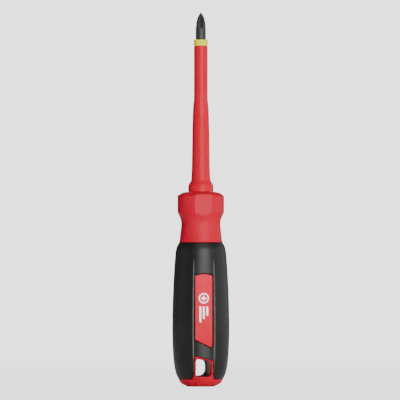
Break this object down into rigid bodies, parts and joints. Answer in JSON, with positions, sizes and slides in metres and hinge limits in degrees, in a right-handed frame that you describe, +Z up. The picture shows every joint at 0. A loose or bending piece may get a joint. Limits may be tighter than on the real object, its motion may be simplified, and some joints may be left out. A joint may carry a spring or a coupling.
{
  "type": "insulated screwdriver",
  "caption": "Insulated cross-tip screwdriver: sleeved steel blade, red hard handle with black soft three-lobed grip, name plate and hang hole.",
  "frame": {"origin": "centre of the butt's flat end, on the blade's axis", "axes": "+Z up the blade to its tip; -Y out of the badge and the hang hole's rimmed mouth; +X to the right of someone looking at the badge"},
  "size_m": [0.0346, 0.033, 0.2261],
  "materials": {
    "blade_steel": "black oxide on ground steel, satin",
    "inner_insulation": "yellow moulded plastic, satin",
    "outer_insulation": "red moulded plastic, satin",
    "core_plastic": "grey glass-filled plastic, matt",
    "shell_plastic": "red moulded plastic, satin",
    "grip_rubber": "black soft over-moulded rubber, matt",
    "badge_plastic": "red moulded plate with a plain white printed mark"
  },
  "bodies": {
    "root": {"blade": "blade_steel", "under_sleeve": "inner_insulation", "outer_sleeve": "outer_insulation", "tang_core": "core_plastic", "handle_shell": "shell_plastic", "grip": "grip_rubber", "front_badge": "badge_plastic"}
  },
  "joints": []
}
